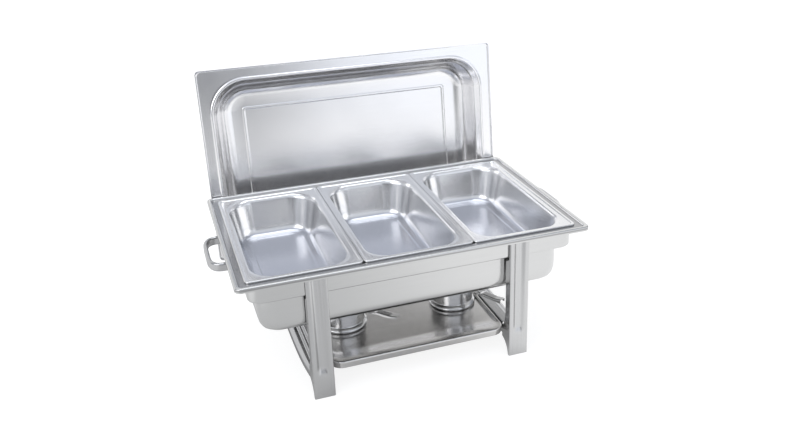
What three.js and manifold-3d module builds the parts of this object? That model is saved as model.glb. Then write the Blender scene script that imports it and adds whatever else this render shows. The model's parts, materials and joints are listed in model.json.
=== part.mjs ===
// Full-size rectangular chafing dish for a buffet: a folded-steel stand with a burner shelf, a water
// pan, three third-size food pans, a lid parked upright behind them, and two fuel burners.
// Millimetres, +X to the right along the long side, +Y to the back, +Z up.
// The stand is drawn round a middle that lies between its four feet, and the finished model is
// moved forward, so that the origin is on the table under the middle of the whole dish.

import * as THREE from 'three';
import { mergeVertices } from 'three/addons/utils/BufferGeometryUtils.js';
import Module from 'manifold-3d';

const wasm = await Module();
wasm.setup();

// ---------------------------------------------------------------- driving dimensions

const GAP = 0.3;                 // clearance between pieces that touch
const SHEET = 1.2;               // steel sheet of pans, lid, legs and shelf

const RIM = { halfX: 281, halfY: 181, top: 218, corner: 10 };   // water pan, outside of the rolled rim
const RIM_SKIRT = 7;             // height of the turned-down edge
const RIM_LEDGE = 3.5;           // the food pans' rims sit this far below the bead
const BAND_INSET = 19;           // rim edge to the outside of the upper wall
const BAND_BOTTOM = 178;         // height at which the upper wall steps in
const WALL_INSET = 33;           // rim edge to the outside of the lower wall
const WATER_PAN_BOTTOM = 115;

const FOOD_PAN = { halfX: 88, halfY: 162.5, corner: 7, depth: 65 };
const FOOD_PAN_PITCH = 176.6;
const FOOD_RIM_WIDTH = 11;

const LID = { halfX: 272.5, halfY: 171.5, corner: 7, depth: 50 };
const LID_FLANGE = 20;
const LID_LIP = 4;               // turned-down outer edge of the lid
const LID_LEAN = 6.5;            // degrees back from upright while it is parked
const LID_EDGE = { y: 169.2, z: 98 };   // front and bottom of the parked lid's lower edge

const LEG = { x: 163.5, width: 33, face: 168 };   // face is the outer face's distance from the middle
const LEG_TOP = RIM.top - RIM_LEDGE - SHEET - GAP;
const LEG_FLAT = 37;             // the pressed groove stops this far above the floor
const GROOVE = { top: 20, floor: 10, depth: 4 };

const BAR = { halfLength: 139.7, top: 50, bottom: 24, taper: 36 };

const SHELF = { halfX: 145.8, halfY: 157, corner: 20, rim: 48.5, floor: 44, skirt: 36 };
const SHELF_BORDER = { end: 6, front: 36 };   // rim and slope round the flat floor

const SHELF_RIVET_Y = 95;
const SHELF_RIVET_Z = 33;

// Hook that carries the parked lid, on the back of a rear leg.
const BRACKET = {
  halfWidth: 13, plateBottom: 66, thick: 1.5, floor: LID_EDGE.z - GAP - 1.5, depth: 17, lip: 14,
};
const BRACKET_RIVET_Z = [73, 86];

const CARRY = { halfWidth: 54, reach: 305, height: 14, z: 187, thick: 6.5, bend: 35 };
const CARRY_FOOT = { length: 14, thick: 2 };      // plates that hold a carry handle to the wall

const CUP_SPOTS = { left: [-98, -33], right: [98, -33] };
const LEVER_ANGLES = { left: -48, right: -60 };    // degrees in plan, damper closed
const CUP = { radius: 36, foot: 41, footHeight: 8, height: 32 };
const FLAME_HOLE = 22;
const DAMPER = { radius: 25.5, pivot: 30, tab: 7, tail: 34 };
const WASHER = { radius: 5, thick: 1.4 };
const LEVER = { width: 13, wall: 4, start: 24, bend: 40, length: 73, drop: 1.5 };

const RIVET = { shank: 2, head: 3.6, headHeight: 1.6 };

// ---------------------------------------------------------------- materials

function steel(colour, roughness) {
  return new THREE.MeshStandardMaterial({ color: colour, roughness, metalness: 1 });
}

const POLISHED = steel(0xd8dade, 0.12);
const SATIN = steel(0xcfd0d0, 0.34);
const BRUSHED = steel(0xc4c4c2, 0.28);
const DARK_BRUSHED = steel(0x8e8c8c, 0.3);
const RIVET_STEEL = steel(0xb5b6b8, 0.25);

// ---------------------------------------------------------------- geometry helpers

const SIDE_STEPS = 5;            // segments in each rounded corner of a pressed pan

const ROUND = 28;                // segments round a fuel cup
const RIVET_ROUND = 8;           // segments round a rivet and its hole

// Rounded rectangle, counterclockwise from above.
function roundedRing(halfX, halfY, radius) {
  const points = [];
  const corners = [[1, -1], [1, 1], [-1, 1], [-1, -1]];
  corners.forEach(([sx, sy], quarter) => {
    for (let step = 0; step <= SIDE_STEPS; step += 1) {
      const angle = (quarter - 1 + step / SIDE_STEPS) * Math.PI / 2;
      points.push([
        sx * (halfX - radius) + radius * Math.cos(angle),
        sy * (halfY - radius) + radius * Math.sin(angle),
      ]);
    }
  });
  return points;
}

// Skin over a row of closed rings with equal counts of points, and a flat cap at each end.
function lofted(rings) {
  const count = rings[0].length;
  const index = [];
  for (let ring = 0; ring < rings.length - 1; ring += 1) {
    for (let i = 0; i < count; i += 1) {
      const next = (i + 1) % count;
      const low = ring * count;
      const high = low + count;
      index.push(low + i, low + next, high + next);
      index.push(low + i, high + next, high + i);
    }
  }
  const [u, v] = rings[0].every(([, , z]) => z === rings[0][0][2]) ? [0, 1] : [2, 0];
  const flat = (ring) => ring.map((point) => new THREE.Vector2(point[u], point[v]));
  const last = (rings.length - 1) * count;
  for (const [a, b, c] of THREE.ShapeUtils.triangulateShape(flat(rings[0]), [])) {
    index.push(a, c, b);
  }
  for (const [a, b, c] of THREE.ShapeUtils.triangulateShape(flat(rings[rings.length - 1]), [])) {
    index.push(last + a, last + b, last + c);
  }
  const geometry = new THREE.BufferGeometry();
  geometry.setAttribute('position', new THREE.Float32BufferAttribute(rings.flat(2), 3));
  geometry.setIndex(index);
  return geometry;
}

// A pressed sheet: rings of one outline, each [inset, z, corner radius, inset along Y if it
// differs], from the first cap, which faces down, round the edge to the last, which faces up.
function pressed(outline, profile) {
  return lofted(profile.map(([inset, z, radius, insetY = inset]) => (
    roundedRing(outline.halfX - inset, outline.halfY - insetY, radius).map(([x, y]) => [x, y, z])
  )));
}

// Profile points on an arc, from one angle to the other in degrees, with a corner radius that
// shrinks as the ring moves in.
function filletPoints(centreInset, centreZ, radius, from, to, steps, cornerAtEdge) {
  const points = [];
  for (let step = 0; step <= steps; step += 1) {
    const angle = THREE.MathUtils.degToRad(from + (to - from) * step / steps);
    const inset = centreInset - radius * Math.cos(angle);
    const corner = cornerAtEdge - (inset - (centreInset - radius));
    points.push([inset, centreZ + radius * Math.sin(angle), corner]);
  }
  return points;
}

function toSolid(geometry) {
  const bare = geometry.clone();
  bare.deleteAttribute('normal');
  bare.deleteAttribute('uv');
  const merged = mergeVertices(bare, 1e-4);
  return new wasm.Manifold(new wasm.Mesh({
    numProp: 3,
    vertProperties: new Float32Array(merged.attributes.position.array),
    triVerts: new Uint32Array(merged.index.array),
  }));
}

function toGeometry(solid) {
  const mesh = solid.getMesh();
  const geometry = new THREE.BufferGeometry();
  geometry.setAttribute('position', new THREE.Float32BufferAttribute(mesh.vertProperties, 3));
  geometry.setIndex(Array.from(mesh.triVerts));
  return geometry;
}

function block(minX, maxX, minY, maxY, minZ, maxZ) {
  const geometry = new THREE.BoxGeometry(maxX - minX, maxY - minY, maxZ - minZ);
  geometry.translate((minX + maxX) / 2, (minY + maxY) / 2, (minZ + maxZ) / 2);
  return geometry;
}

function polygon(points) {
  return new THREE.Shape(points.map(([x, y]) => new THREE.Vector2(x, y)));
}

function extruded(shape, depth, curveSegments = 10) {
  return new THREE.ExtrudeGeometry(shape, { depth, bevelEnabled: false, curveSegments });
}

// Lets a rivet through: a round hole along X or Y.
function drill(solid, [x, y, z], axis, radius, length = 12) {
  const tool = new THREE.CylinderGeometry(radius, radius, length, RIVET_ROUND);
  if (axis === 'x') {
    tool.rotateZ(Math.PI / 2);
  }
  if (axis === 'z') {
    tool.rotateX(Math.PI / 2);
  }
  tool.translate(x, y, z);
  return solid.subtract(toSolid(tool));
}

// Rivet along +Z of its own frame, from the outside of one head to the outside of the other.
function rivetGeometry(grip, { shank, head, headHeight } = RIVET) {
  const outline = [];
  const domeSteps = 2;
  for (let step = 0; step <= domeSteps; step += 1) {
    const angle = step / domeSteps * Math.PI / 2;
    outline.push([head * Math.sin(angle), -headHeight * Math.cos(angle)]);
  }
  outline.push([shank, 0], [shank, grip]);
  for (let step = domeSteps; step >= 0; step -= 1) {
    const angle = step / domeSteps * Math.PI / 2;
    outline.push([head * Math.sin(angle), grip + headHeight * Math.cos(angle)]);
  }
  const geometry = new THREE.LatheGeometry(outline.map(([r, z]) => new THREE.Vector2(r, z)), RIVET_ROUND);
  geometry.rotateX(Math.PI / 2);
  return geometry;
}

const model = new THREE.Group();

function add(parent, name, geometry, material, position = [0, 0, 0], rotation = [0, 0, 0]) {
  geometry.computeVertexNormals();
  const mesh = new THREE.Mesh(geometry, material);
  mesh.name = name;
  mesh.position.set(...position);
  mesh.rotation.set(...rotation);
  parent.add(mesh);
  return mesh;
}

// ---------------------------------------------------------------- water pan

function waterPanGeometry() {
  const { top, corner } = RIM;
  const bandCorner = 28;
  const wallCorner = 41;
  const fillet = 30;
  const ledge = top - RIM_LEDGE;
  const under = ledge - SHEET;
  const inside = SHEET;
  const outer = [
    ...filletPoints(WALL_INSET + fillet, WATER_PAN_BOTTOM + fillet, fillet, -90, 0, 5, wallCorner),
    [WALL_INSET, BAND_BOTTOM - 5, wallCorner],
    [WALL_INSET - 2, BAND_BOTTOM - 1, wallCorner - 4],
    [BAND_INSET + 2, BAND_BOTTOM, bandCorner],
    [BAND_INSET, BAND_BOTTOM + 3, bandCorner],
    [BAND_INSET, under, bandCorner],
    [SHEET, under, corner - SHEET],
    [SHEET, top - RIM_SKIRT, corner - SHEET],
    [0, top - RIM_SKIRT, corner],
    [0, top - 2, corner],
    [2, top, corner - 2],
    [5, top, corner - 4],
    [7, ledge, corner - 4],
  ];
  const inner = [
    [BAND_INSET + inside, ledge, bandCorner - inside],
    [BAND_INSET + inside, BAND_BOTTOM + 4, bandCorner - inside],
    [BAND_INSET + 3.2, BAND_BOTTOM + 1.2, bandCorner - 1],
    [WALL_INSET - 0.8, BAND_BOTTOM + 0.2, wallCorner - 5],
    [WALL_INSET + inside, BAND_BOTTOM - 4, wallCorner - inside],
    ...filletPoints(WALL_INSET + fillet, WATER_PAN_BOTTOM + fillet, fillet - inside, 0, -90, 5,
      wallCorner - inside),
  ];
  return pressed(RIM, [...outer, ...inner]);
}

function carryHandleGeometry() {
  const bandX = RIM.halfX - BAND_INSET + GAP;
  const { halfWidth, reach, height, thick, bend } = CARRY;
  const footX = bandX + CARRY_FOOT.thick;
  const footY = halfWidth + CARRY_FOOT.length;
  const loop = (offset) => {
    const x1 = reach - offset;
    const w = halfWidth - offset;
    const r = bend - offset;
    return { x1, w, r };
  };
  const outside = loop(0);
  const inside = loop(thick);
  const shape = new THREE.Shape();
  shape.moveTo(bandX, -footY);
  shape.lineTo(footX, -footY);
  shape.lineTo(footX, -halfWidth);
  shape.lineTo(outside.x1 - outside.r, -outside.w);
  shape.absarc(outside.x1 - outside.r, -outside.w + outside.r, outside.r, -Math.PI / 2, 0, false);
  shape.absarc(outside.x1 - outside.r, outside.w - outside.r, outside.r, 0, Math.PI / 2, false);
  shape.lineTo(footX, halfWidth);
  shape.lineTo(footX, footY);
  shape.lineTo(bandX, footY);
  shape.lineTo(bandX, inside.w);
  shape.lineTo(inside.x1 - inside.r, inside.w);
  shape.absarc(inside.x1 - inside.r, inside.w - inside.r, inside.r, Math.PI / 2, 0, true);
  shape.absarc(inside.x1 - inside.r, -inside.w + inside.r, inside.r, 0, -Math.PI / 2, true);
  shape.lineTo(bandX, -inside.w);
  return extruded(shape, height, 6);
}

function addWaterPan() {
  add(model, 'water_pan', waterPanGeometry(), SATIN);
  add(model, 'carry_handle_right', carryHandleGeometry(), BRUSHED, [0, 0, CARRY.z]);
  add(model, 'carry_handle_left', carryHandleGeometry(), BRUSHED, [0, 0, CARRY.z], [0, 0, Math.PI]);
}

// ---------------------------------------------------------------- food pans

function foodPanGeometry() {
  const sheet = 1;
  const seat = RIM.top - RIM_LEDGE + GAP;
  const face = seat + sheet;
  const bead = RIM.top - 0.5;
  const mouth = FOOD_RIM_WIDTH;
  const mouthCorner = 36;
  const draft = 12.5;
  const bottom = face - FOOD_PAN.depth;
  const fillet = 11;
  const wallFoot = mouth + sheet + draft;
  const outer = [
    ...filletPoints(wallFoot + fillet, bottom + fillet, fillet, -90, -10, 4, mouthCorner - 5),
    [mouth + sheet + 0.6, seat - 5, mouthCorner - 1],
    [mouth - 3, seat, mouthCorner + 2],
    [0, seat, FOOD_PAN.corner],
    [0, bead - 1, FOOD_PAN.corner],
    [1, bead, FOOD_PAN.corner - 1],
    [3, bead, FOOD_PAN.corner - 2],
    [4.5, face, FOOD_PAN.corner - 2],
  ];
  const inner = [
    [mouth - 2.4, face, mouthCorner + 2],
    [mouth + sheet + 1.6, seat - 4.6, mouthCorner - 2],
    ...filletPoints(wallFoot + fillet, bottom + fillet, fillet - sheet, -10, -90, 4, mouthCorner - 6),
  ];
  // The rings of the wall lean in, so the inner wall starts one sheet further in than the outer.
  return pressed(FOOD_PAN, [...outer, ...inner]);
}

function addFoodPans() {
  ['left', 'middle', 'right'].forEach((place, i) => {
    add(model, `food_pan_${place}`, foodPanGeometry(), POLISHED, [(i - 1) * FOOD_PAN_PITCH, 0, 0]);
  });
}

// ---------------------------------------------------------------- lid

// Made as it lies on the pan, dome up, with its flange at z = 0.
function lidGeometry() {
  const { corner, depth } = LID;
  const mouthCorner = 63;
  const crownCorner = 30;
  const fillet = 14;
  const crown = 43;
  const inner = [
    ...filletPoints(crown + fillet, depth - SHEET - fillet, fillet, 90, 15, 4, 44),
    [31, 8, 54],
    [27, 4.5, 58],
    [22, 3.5, 61],
    [LID_FLANGE, 0, mouthCorner],
    [SHEET + 2, 0, corner - 2],
    [SHEET, -1.5, corner - SHEET],
    [SHEET, -LID_LIP, corner - SHEET],
  ];
  const outer = [
    [0, -LID_LIP, corner],
    [0, -1, corner],
    [1.6, SHEET, corner - 1],
    [LID_FLANGE + 1, SHEET, mouthCorner - 1],
    [LID_FLANGE + 3, 4.7, mouthCorner - 3],
    [26, 5.7, 59],
    [29.8, 9, 55],
    ...filletPoints(crown + fillet, depth - fillet - SHEET, fillet + SHEET, 15, 90, 4, 45),
  ];
  inner[0][2] = crownCorner;
  outer[outer.length - 1][2] = crownCorner;
  return pressed(LID, [...inner, ...outer]);
}

// Arched grip welded to the middle of the dome.
function lidHandleGeometry() {
  const halfSpan = 62;
  const rise = 34;
  const base = LID.depth + GAP;
  const width = 16;
  const thick = 3;
  const shape = new THREE.Shape();
  const bend = 18;
  shape.moveTo(-halfSpan - 12, 0);
  shape.lineTo(-halfSpan, 0);
  shape.lineTo(-halfSpan, rise - bend);
  shape.absarc(-halfSpan + bend, rise - bend, bend, Math.PI, Math.PI / 2, true);
  shape.absarc(halfSpan - bend, rise - bend, bend, Math.PI / 2, 0, true);
  shape.lineTo(halfSpan, 0);
  shape.lineTo(halfSpan + 12, 0);
  shape.lineTo(halfSpan + 12, -thick);
  shape.lineTo(halfSpan - thick, -thick);
  shape.lineTo(halfSpan - thick, rise - bend);
  shape.absarc(halfSpan - bend, rise - bend, bend - thick, 0, Math.PI / 2, false);
  shape.absarc(-halfSpan + bend, rise - bend, bend - thick, Math.PI / 2, Math.PI, false);
  shape.lineTo(-halfSpan + thick, -thick);
  shape.lineTo(-halfSpan - 12, -thick);
  const geometry = extruded(shape, width, 6);
  geometry.rotateX(Math.PI / 2);
  geometry.translate(0, width / 2, base + thick);
  return geometry;
}

function addLid() {
  const parked = new THREE.Group();
  const lean = THREE.MathUtils.degToRad(LID_LEAN);
  const reach = LID.halfY;
  parked.rotation.x = -Math.PI / 2 - lean;
  // The lip's front edge is at local (halfY, -LID_LIP); the flange's back edge hangs lowest.
  parked.position.set(
    0,
    LID_EDGE.y + reach * Math.sin(lean) + LID_LIP * Math.cos(lean),
    LID_EDGE.z + reach * Math.cos(lean) + SHEET * Math.sin(lean),
  );
  model.add(parked);
  add(parked, 'lid_shell', lidGeometry(), SATIN);
  add(parked, 'lid_handle', lidHandleGeometry(), BRUSHED);
}

// ---------------------------------------------------------------- stand

// Section of a leg at the groove, face on y = 0 and flanges towards +Y.
function legSection(flangeDepth, grooved) {
  const half = LEG.width / 2;
  const { top, floor, depth } = GROOVE;
  const outside = grooved
    ? [[-half, 0], [-top / 2, 0], [-floor / 2, depth], [floor / 2, depth], [top / 2, 0], [half, 0]]
    : [[-half, 0], [half, 0]];
  const inside = grooved
    ? [[half - SHEET, SHEET], [top / 2 + 0.6, SHEET], [floor / 2 + 0.6, depth + SHEET],
      [-floor / 2 - 0.6, depth + SHEET], [-top / 2 - 0.6, SHEET], [-half + SHEET, SHEET]]
    : [[half - SHEET, SHEET], [-half + SHEET, SHEET]];
  return polygon([
    ...outside,
    [half, flangeDepth],
    [half - SHEET, flangeDepth],
    ...inside,
    [-half + SHEET, flangeDepth],
    [-half, flangeDepth],
  ]);
}

// How far the flanges reach back at each height.
function legSideGeometry() {
  const shape = new THREE.Shape();
  shape.moveTo(-1, 0);
  shape.lineTo(5, 0);
  shape.quadraticCurveTo(9, 20, 28, BAR.bottom);
  shape.lineTo(28, BAR.top - 6);
  shape.quadraticCurveTo(17, BAR.top + 4, 16, 76);
  shape.lineTo(16, BAND_BOTTOM - 8);
  shape.lineTo(4.5, BAND_BOTTOM - 3);
  shape.lineTo(4.5, LEG_TOP);
  shape.lineTo(-1, LEG_TOP);
  const geometry = extruded(shape, LEG.width + 2, 6);
  geometry.rotateX(Math.PI / 2);
  geometry.rotateZ(Math.PI / 2);
  geometry.translate(-LEG.width / 2 - 1, 0, 0);
  return geometry;
}

function legSolid() {
  const upper = extruded(legSection(30, true), LEG_TOP - LEG_FLAT);
  upper.translate(0, 0, LEG_FLAT);
  const lower = extruded(legSection(30, false), LEG_FLAT);
  const grooveEnd = block(-GROOVE.top / 2, GROOVE.top / 2, 0, GROOVE.depth + SHEET,
    LEG_FLAT - SHEET, LEG_FLAT + 0.01);
  return toSolid(upper)
    .add(toSolid(lower))
    .add(toSolid(grooveEnd))
    .intersect(toSolid(legSideGeometry()));
}

// Section of an end bar, as [x from the leg's centre, z]: an inner flange, a flat top, and two
// pressed steps down to an outer flange, which stands out further in the middle of the bar.
function barRing(y, bulge) {
  const { top, bottom } = BAR;
  const half = LEG.width / 2;
  const edge = half + bulge;
  const stepDrop = (top - bottom - 8) / 3;
  const outside = [
    [-half, bottom + 6], [-half, top - 2], [-half + 2, top], [1, top],
    [4, top - stepDrop], [7, top - stepDrop], [10, top - 2 * stepDrop], [13 + bulge / 2, top - 2 * stepDrop],
    [edge, top - 3 * stepDrop], [edge, bottom],
  ];
  const inside = outside.map(([x, z], i) => {
    const first = i === 0;
    const last = i === outside.length - 1;
    const sideways = first ? SHEET : -SHEET * 0.7;
    return [x + (i === 1 ? SHEET : sideways) + (last ? -SHEET * 0.3 : 0), first || last ? z : z - SHEET];
  });
  return [...outside, ...inside.reverse()].map(([x, z]) => [x, y, z]);
}

function endBarSolid() {
  const { halfLength, taper } = BAR;
  const bulge = 5.5;
  let solid = toSolid(lofted([
    barRing(-halfLength, 0),
    barRing(-halfLength + taper, bulge),
    barRing(halfLength - taper, bulge),
    barRing(halfLength, 0),
  ]));
  for (const y of [-SHELF_RIVET_Y, SHELF_RIVET_Y]) {
    solid = drill(solid, [-LEG.width / 2, y, SHELF_RIVET_Z], 'x', RIVET.shank + GAP, 4);
  }
  return solid;
}

function shelfSolid() {
  const { corner, rim, floor, skirt } = SHELF;
  const { end, front } = SHELF_BORDER;
  const tray = pressed(SHELF, [
    [end, floor - SHEET, corner - 4, front],
    [end - 1.6, floor + 1 - SHEET, corner - 3, front - 14],
    [end - 2, rim - SHEET, corner - 3, 8],
    [SHEET + 1, rim - SHEET, corner - SHEET - 1],
    [SHEET, rim - SHEET - 1, corner - SHEET],
    [SHEET, skirt, corner - SHEET],
    [0, skirt, corner],
    [0, rim - 1.4, corner],
    [1.4, rim, corner - 1.4],
    [end - 2.6, rim, corner - 3, 7],
    [end - 1, floor + 1, corner - 4, front - 14],
    [end, floor, corner - 4, front],
  ]);
  let solid = toSolid(tray);
  // Two ears hang from each end of the tray and take the rivets into the end bars.
  for (const side of [-1, 1]) {
    for (const y of [-SHELF_RIVET_Y, SHELF_RIVET_Y]) {
      const face = side * SHELF.halfX;
      const back = side * (SHELF.halfX - SHEET);
      const ear = block(Math.min(face, back), Math.max(face, back), y - 8, y + 8, 26, skirt + 1);
      solid = solid.add(toSolid(ear));
      solid = drill(solid, [face, y, SHELF_RIVET_Z], 'x', RIVET.shank + GAP, 6);
    }
  }
  return solid;
}

// Hook on a rear leg that the edge of the parked lid stands in; plate on y = 0, hook towards +Y.
function lidHookSolid() {
  const { halfWidth, plateBottom, thick, floor, depth, lip } = BRACKET;
  const profile = polygon([
    [0, plateBottom], [thick, plateBottom], [thick, floor], [depth, floor], [depth, floor + lip],
    [depth - thick, floor + lip], [depth - thick, floor + thick], [0, floor + thick],
  ]);
  const hook = extruded(profile, 2 * halfWidth);
  hook.rotateX(Math.PI / 2);
  hook.rotateZ(Math.PI / 2);
  hook.translate(-halfWidth, 0, 0);
  return hook;
}

function addStand() {
  const leg = legSolid();
  const grip = SHEET + GROOVE.depth;
  for (const [end, sx] of [['left', -1], ['right', 1]]) {
    add(model, `leg_front_${end}`, toGeometry(leg), BRUSHED, [sx * LEG.x, -LEG.face, 0]);
    // A rear leg turns its face to the back, and two rivets hold the lid hook to its groove floor.
    let rear = leg;
    let hook = toSolid(lidHookSolid());
    for (const z of BRACKET_RIVET_Z) {
      rear = drill(rear, [0, GROOVE.depth, z], 'y', RIVET.shank + GAP);
      hook = drill(hook, [0, 0, z], 'y', RIVET.shank + GAP);
    }
    add(model, `leg_rear_${end}`, toGeometry(rear), BRUSHED, [sx * LEG.x, LEG.face, 0],
      [0, 0, Math.PI]);
    add(model, `lid_hook_${end}`, toGeometry(hook), BRUSHED, [sx * LEG.x, LEG.face + GAP, 0]);
    BRACKET_RIVET_Z.forEach((z, i) => {
      const back = LEG.face - grip - GAP;
      add(model, `lid_hook_rivet_${end}_${i + 1}`, rivetGeometry(grip + BRACKET.thick + 3 * GAP), RIVET_STEEL,
        [sx * LEG.x, back, z], [-Math.PI / 2, 0, 0]);
    });
    add(model, `end_bar_${end}`, toGeometry(endBarSolid()), BRUSHED, [sx * LEG.x, 0, 0],
      [0, 0, sx < 0 ? Math.PI : 0]);
    [-SHELF_RIVET_Y, SHELF_RIVET_Y].forEach((y, i) => {
      const start = sx * (SHELF.halfX - SHEET - GAP);
      const length = LEG.x - LEG.width / 2 + SHEET - SHELF.halfX + SHEET + 2 * GAP;
      add(model, `shelf_rivet_${end}_${i + 1}`, rivetGeometry(length), RIVET_STEEL,
        [start, y, SHELF_RIVET_Z], [0, sx * Math.PI / 2, 0]);
    });
  }
  add(model, 'burner_shelf', toGeometry(shelfSolid()), DARK_BRUSHED);
}

// ---------------------------------------------------------------- burners

function cupGeometry() {
  const { radius, foot, footHeight, height } = CUP;
  const outline = [
    [0, 0], [foot - 1, 0], [foot, 1], [foot, footHeight - 1], [foot - 1, footHeight],
    [radius, footHeight + 0.6], [radius, height], [radius - SHEET, height],
    [radius - SHEET, SHEET * 2], [0, SHEET * 2],
  ];
  return new THREE.LatheGeometry(outline.map(([r, z]) => new THREE.Vector2(r, z)), ROUND);
}

function coverSolid() {
  const { radius, height } = CUP;
  const under = height + GAP;
  const skirt = radius + GAP;
  const outline = [
    [FLAME_HOLE, under], [skirt, under], [skirt, height - 6], [skirt + 1, height - 6],
    [skirt + 1, under + 0.4], [skirt + 0.4, under + 1], [FLAME_HOLE, under + 1], [FLAME_HOLE, under],
  ];
  const geometry = new THREE.LatheGeometry(outline.map(([r, z]) => new THREE.Vector2(r, z)), ROUND);
  geometry.rotateX(Math.PI / 2);
  return drill(toSolid(geometry), [DAMPER.pivot, 0, height], 'z', RIVET.shank + GAP);
}

const COVER_TOP = CUP.height + GAP + 1;
const DAMPER_Z = COVER_TOP + WASHER.thick + 2 * GAP;
const LEVER_Z = DAMPER_Z + 1 + GAP;
const LEVER_RIVET_X = DAMPER.pivot + 30;

// Both are drawn with the pivot at the origin and the lever towards +X.
function damperSolid() {
  const { radius, pivot, tab, tail } = DAMPER;
  const disc = new THREE.Shape();
  disc.absarc(-pivot, 0, radius, 0, 2 * Math.PI, false);
  const arm = polygon([[-pivot, -tab], [tail, -tab], [tail, tab], [-pivot, tab]]);
  let solid = toSolid(extruded(disc, 1, ROUND)).add(toSolid(extruded(arm, 1)));
  solid = drill(solid, [0, 0, 0], 'z', RIVET.shank + GAP);
  return drill(solid, [LEVER_RIVET_X - pivot, 0, 0], 'z', 1.5 + GAP);
}

// Channel-section strap that runs out almost level and curls up at its end.
function leverSolid() {
  const { width, wall, start, bend, length, drop } = LEVER;
  const thick = 1;
  const side = new THREE.Shape();
  side.moveTo(start, 0);
  side.lineTo(bend, 0);
  side.lineTo(length - 8, -drop);
  side.quadraticCurveTo(length + 2, -drop - 2, length + 5, -drop + 5);
  side.lineTo(length + 4, -drop + 5.4);
  side.quadraticCurveTo(length + 1, -drop, length - 8, -drop + thick);
  side.lineTo(bend, thick);
  side.lineTo(start, thick);
  const strap = extruded(side, width, 8);
  strap.rotateX(Math.PI / 2);
  strap.translate(0, width / 2, 0);
  const cheek = polygon([
    [start, 0], [bend, 0], [length - 8, -drop], [length - 8, -drop + wall], [bend, wall], [start, wall],
  ]);
  let solid = toSolid(strap);
  for (const y of [-width / 2 + thick, width / 2]) {
    const wallPiece = extruded(cheek, thick);
    wallPiece.rotateX(Math.PI / 2);
    wallPiece.translate(0, y, 0);
    solid = solid.add(toSolid(wallPiece));
  }
  return drill(solid, [LEVER_RIVET_X - DAMPER.pivot, 0, 0], 'z', 1.5 + GAP);
}

function washerSolid() {
  const disc = new THREE.CylinderGeometry(WASHER.radius, WASHER.radius, WASHER.thick, 16);
  disc.rotateX(Math.PI / 2);
  return drill(toSolid(disc), [0, 0, 0], 'z', RIVET.shank + GAP);
}

function addBurner(end) {
  const burner = new THREE.Group();
  const [x, y] = CUP_SPOTS[end];
  burner.position.set(x, y, SHELF.floor + GAP);
  burner.rotation.z = THREE.MathUtils.degToRad(LEVER_ANGLES[end]);
  model.add(burner);
  const { pivot } = DAMPER;
  add(burner, `fuel_cup_${end}`, cupGeometry(), POLISHED, [0, 0, 0], [Math.PI / 2, 0, 0]);
  add(burner, `cup_cover_${end}`, toGeometry(coverSolid()), POLISHED);
  add(burner, `damper_${end}`, toGeometry(damperSolid()), POLISHED, [pivot, 0, DAMPER_Z]);
  add(burner, `damper_lever_${end}`, toGeometry(leverSolid()), BRUSHED, [pivot, 0, LEVER_Z]);
  add(burner, `damper_washer_${end}`, toGeometry(washerSolid()), RIVET_STEEL,
    [pivot, 0, COVER_TOP + GAP + WASHER.thick / 2]);
  const pivotStart = CUP.height;
  add(burner, `damper_pivot_${end}`, rivetGeometry(DAMPER_Z + 1 + GAP - pivotStart), RIVET_STEEL,
    [pivot, 0, pivotStart]);
  const small = { shank: 1.5, head: 2.6, headHeight: 1 };
  const under = DAMPER_Z - GAP;
  add(burner, `lever_rivet_${end}`, rivetGeometry(LEVER_Z + 1 + GAP - under, small), RIVET_STEEL,
    [LEVER_RIVET_X, 0, under]);
}

addStand();
addWaterPan();
addFoodPans();
addLid();
addBurner('left');
addBurner('right');

const bounds = new THREE.Box3().setFromObject(model, true);
model.position.y = -(bounds.min.y + bounds.max.y) / 2;

export default model;
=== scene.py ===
"""Full-size chafing dish: pressed pans, parked lid, folded stand and two fuel burners."""
import json
import math

import bpy
import numpy as np
from mathutils import Matrix, Vector


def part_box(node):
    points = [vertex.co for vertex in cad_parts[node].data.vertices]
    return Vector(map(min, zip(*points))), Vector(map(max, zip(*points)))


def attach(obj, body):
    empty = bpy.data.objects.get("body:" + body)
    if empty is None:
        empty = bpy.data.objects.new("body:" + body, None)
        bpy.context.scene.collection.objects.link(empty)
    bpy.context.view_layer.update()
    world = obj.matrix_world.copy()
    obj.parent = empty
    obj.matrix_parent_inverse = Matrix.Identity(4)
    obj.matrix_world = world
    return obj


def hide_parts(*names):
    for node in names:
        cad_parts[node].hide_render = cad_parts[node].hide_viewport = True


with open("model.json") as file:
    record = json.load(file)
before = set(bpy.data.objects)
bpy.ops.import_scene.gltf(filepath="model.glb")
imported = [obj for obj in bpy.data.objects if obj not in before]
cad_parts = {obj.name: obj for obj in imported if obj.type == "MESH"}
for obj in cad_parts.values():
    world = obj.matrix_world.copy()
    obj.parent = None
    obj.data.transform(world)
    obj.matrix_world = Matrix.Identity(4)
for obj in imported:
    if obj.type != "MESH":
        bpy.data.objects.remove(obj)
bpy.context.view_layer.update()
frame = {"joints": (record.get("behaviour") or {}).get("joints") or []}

MM = 0.001
SHEET = 1.2            # thickness of pans, lid, legs and shelf, mm
CORNER_STEPS = 14      # segments in each rounded corner of a pressed piece
BEND_STEPS = 5         # segments across each bend of the sheet
STRAP_BEND_STEPS = 10  # segments along each bend of a strap
SHARPEST_MITRE = 0.6   # cosine of half the sharpest turn that an offset line follows fully
LARGEST_BEND = 0.48    # most of a straight stretch that one bend may take
SMOOTH_ANGLE = math.radians(38)
TINY = 1e-9            # keeps a zero length out of a division


# ------------------------------------------------------------------ sheet-metal helpers

def box_mm(node):
    low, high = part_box(node)
    return np.array(low) / MM, np.array(high) / MM


def centre_mm(node):
    low, high = box_mm(node)
    return (low + high) / 2


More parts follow.
